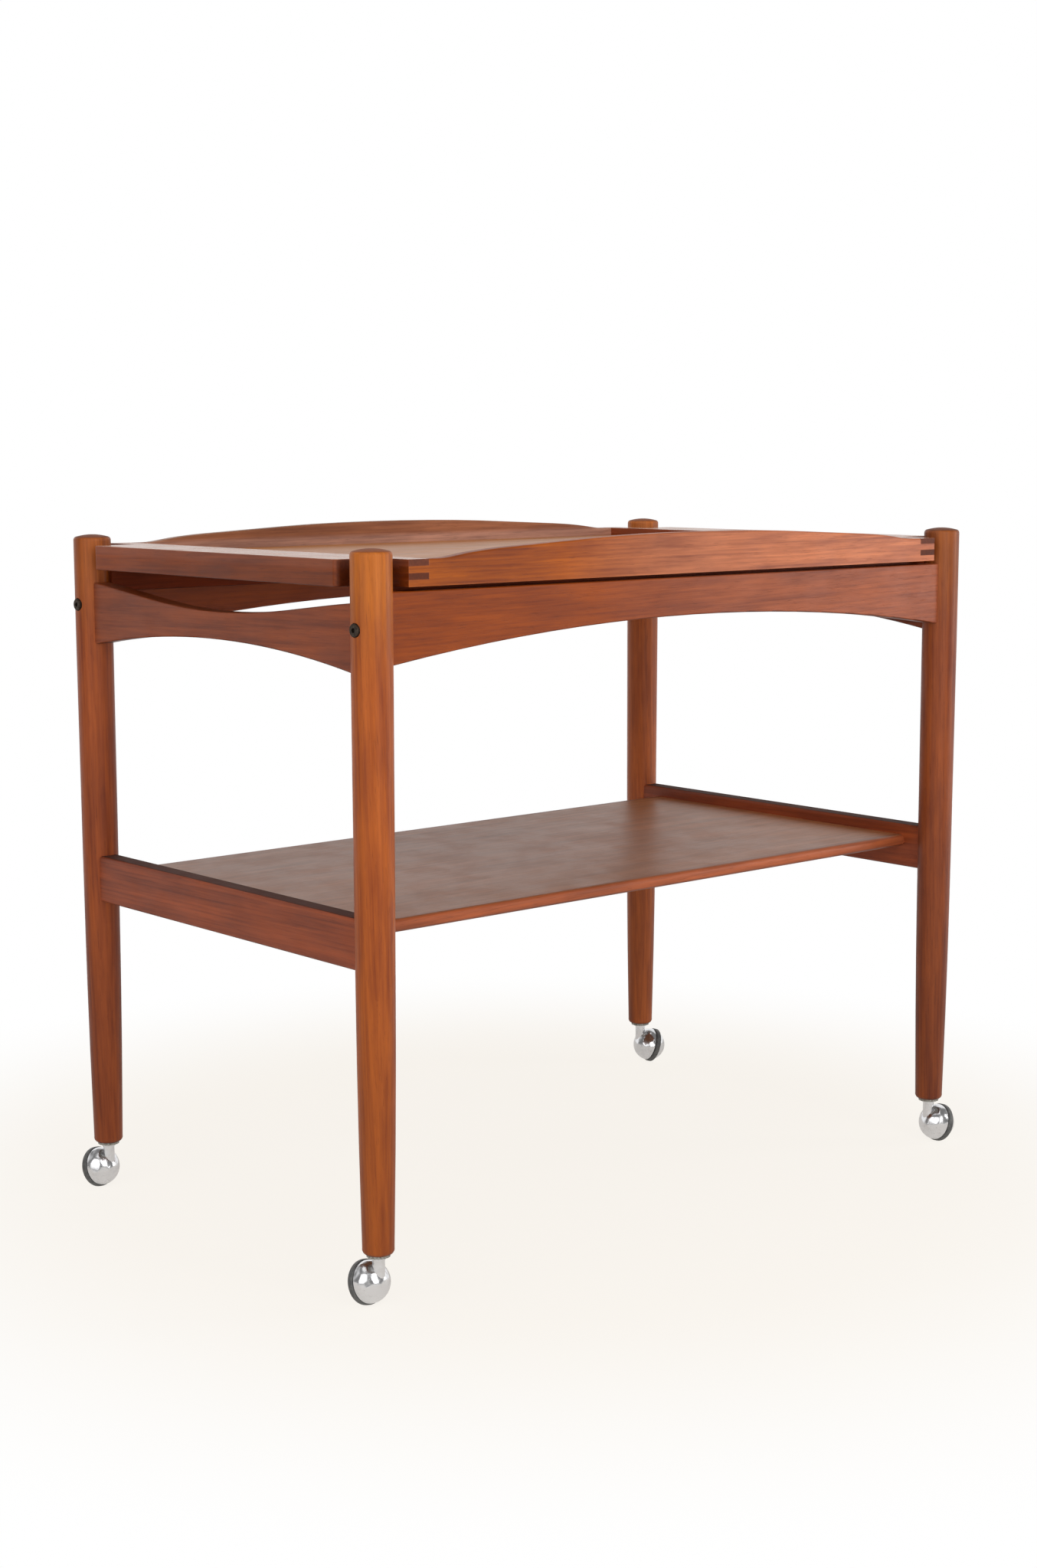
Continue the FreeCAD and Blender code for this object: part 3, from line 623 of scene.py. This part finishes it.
def dress_metal():
    plate = chrome("caster_chrome")
    steel = dull_metal(
        "caster_steel",
        clean=(0.52, 0.52, 0.52, 1),
        stained=(0.40, 0.39, 0.37, 1),
        roughness=0.28,
        stain_scale=300.0,
    )
    socket = dull_metal(
        "socket_steel",
        clean=(0.44, 0.43, 0.40, 1),
        stained=(0.24, 0.22, 0.19, 1),
        roughness=0.38,
        stain_scale=420.0,
    )
    bolt = dull_metal(
        "bolt_steel",
        clean=(0.070, 0.052, 0.038, 1),
        stained=(0.032, 0.024, 0.018, 1),
        roughness=0.48,
        stain_scale=500.0,
    )
    nut = dull_metal(
        "nut_steel",
        clean=(0.56, 0.56, 0.55, 1),
        stained=(0.42, 0.41, 0.39, 1),
        roughness=0.30,
        stain_scale=500.0,
    )
    tread = tread_plastic("tread_plastic")
    for corner in CORNERS:
        dress("caster_hood_" + corner, plate)
        dress("caster_wheel_" + corner, plate)
        dress("caster_stem_" + corner, steel)
        dress("caster_axle_" + corner, steel)
        dress("caster_socket_" + corner, socket)
        dress("caster_tread_" + corner, tread)
    dress("apron_bolts", bolt)
    dress("barrel_nuts", nut)


# Studio: a pale floor that fades into a white backdrop, and soft lamps

FLOOR_HALF = 14.0
FLOOR_COLOUR = (0.88, 0.85, 0.805, 1)
FLOOR_PALE = (0.94, 0.93, 0.915, 1)
FLOOR_BLOTCHES = (3.2, 4.0, 0.6)
FLOOR_BLOTCH_EDGES = (0.35, 0.68)
FLOOR_BLOTCH_SHARE = 0.35
FLOOR_ROUGHNESS = 0.65
FLOOR_SPECULAR = 0.25
# What the camera sees of the floor: mostly its own glow, warm near the trolley as a painted bounce of warm
# light, which turns white between these reaches
FLOOR_FADE = (0.40, 0.92)
FLOOR_GLOW_WARM_BOUNCE = (1.0, 0.962, 0.905, 1)
FLOOR_SEEN_SHARE = 0.885
# What a gloss sees of it
FLOOR_MIRROR_FADE = (0.3, 3.0)
FLOOR_MIRROR_SHARE = 0.42

# What a gloss sees of the world: white on the side that the photograph's camera faces, up to a height
BACKDROP_EDGES = (-0.15, 0.30)
BACKDROP_TOP_EDGES = (0.78, 0.50)
DIM_SIDE = (0.20, 0.198, 0.195, 1)
AMBIENT = (0.17, 0.168, 0.165, 1)

SOFTBOX_TARGET = (0.0, 0.0, 0.42)


def make_floor():
    mesh = bpy.data.meshes.new("studio_floor")
    half = FLOOR_HALF
    corners = [(-half, -half, 0), (half, -half, 0), (half, half, 0), (-half, half, 0)]
    mesh.from_pydata(corners, [], [(0, 1, 2, 3)])
    floor = bpy.data.objects.new("studio_floor", mesh)
    bpy.context.scene.collection.objects.link(floor)
    g = new_material("studio_floor")
    place = g.add("TexCoord", output="Object")
    blotches = g.spread(g.noise(place, *FLOOR_BLOTCHES), *FLOOR_BLOTCH_EDGES)
    shade = g.mix(g.times(blotches, FLOOR_BLOTCH_SHARE), FLOOR_COLOUR, FLOOR_PALE)
    lit = g.add(
        "BsdfPrincipled",
        {"Base Color": shade, "Roughness": FLOOR_ROUGHNESS, "Specular IOR Level": FLOOR_SPECULAR},
    )
    reach = g.vector("LENGTH", place)
    fade = g.spread(reach, *FLOOR_FADE, FLOOR_SEEN_SHARE, 1.0)
    # The glow is warm near the trolley, a painted bounce of warm light, and white further out
    glow_and_bounce = g.mix(g.spread(reach, *FLOOR_FADE), FLOOR_GLOW_WARM_BOUNCE, WHITE)
    white = g.add("Emission", {"Color": glow_and_bounce, "Strength": 1.0})
    seen = g.add("LightPath", output="Is Camera Ray")
    glossy = g.add("LightPath", output="Is Glossy Ray")
    mirrored = g.times(glossy, g.spread(reach, *FLOOR_MIRROR_FADE, FLOOR_MIRROR_SHARE, 1.0))
    share = g.plus(g.times(fade, seen), mirrored, clamp=True)
    g.add("OutputMaterial", {"Surface": g.add("MixShader", {0: share, 1: lit, 2: white})})
    mesh.materials.append(g.owner)


def make_world():
    """White for the camera, a white and a dim side for gloss and glass, and plain ambient light."""
    world = bpy.data.worlds.new("studio")
    bpy.context.scene.world = world
    g = Graph(world)
    look = g.add("TexCoord", output="Generated")
    away = (math.sin(CAMERA_YAW), math.cos(CAMERA_YAW), 0.0)
    back_share = g.spread(g.vector("DOT_PRODUCT", look, away), *BACKDROP_EDGES)
    low_share = g.spread(g.vector("DOT_PRODUCT", look, (0, 0, 1)), *BACKDROP_TOP_EDGES)
    mirrored = g.mix(g.times(back_share, low_share), DIM_SIDE, WHITE)
    seen = g.add("LightPath", output="Is Camera Ray")
    glossy = g.add("LightPath", output="Is Glossy Ray")
    through = g.add("LightPath", output="Is Transmission Ray")
    shown = g.mix(g.plus(glossy, through, clamp=True), AMBIENT, mirrored)
    shown = g.mix(seen, shown, WHITE)
    g.add("OutputWorld", {"Surface": g.add("Background", {"Color": shown, "Strength": 1.0})})


def make_lamp(name, place, target, size, watts):
    data = bpy.data.lights.new(name, "AREA")
    data.shape = "RECTANGLE"
    data.size, data.size_y = size
    data.energy = watts
    lamp = bpy.data.objects.new(name, data)
    lamp.location = place
    lamp.rotation_mode = "QUATERNION"
    lamp.rotation_quaternion = (Vector(target) - Vector(place)).to_track_quat("-Z", "Y")
    bpy.context.scene.collection.objects.link(lamp)
    lamp.visible_camera = False


def make_lights():
    make_lamp("softbox_right", place=(-0.42, -2.15, 1.25), target=SOFTBOX_TARGET, size=(1.5, 1.9), watts=22)
    make_lamp("softbox_left", place=(-2.20, -0.75, 1.25), target=SOFTBOX_TARGET, size=(2.2, 1.9), watts=18)
    make_lamp("side_right", place=(2.3, -1.7, 0.9), target=(0.2, -0.1, 0.5), size=(0.8, 1.4), watts=16)
    make_lamp("ceiling", place=(-0.2, 0.2, 3.2), target=(0.0, 0.0, 0.3), size=(2.4, 2.4), watts=16)


# Making it all

bpy.context.scene.view_settings.view_transform = "Standard"
make_camera()
make_floor()
make_world()
make_lights()
dress_frame()
dress_shelf()
dress_tray()
dress_metal()
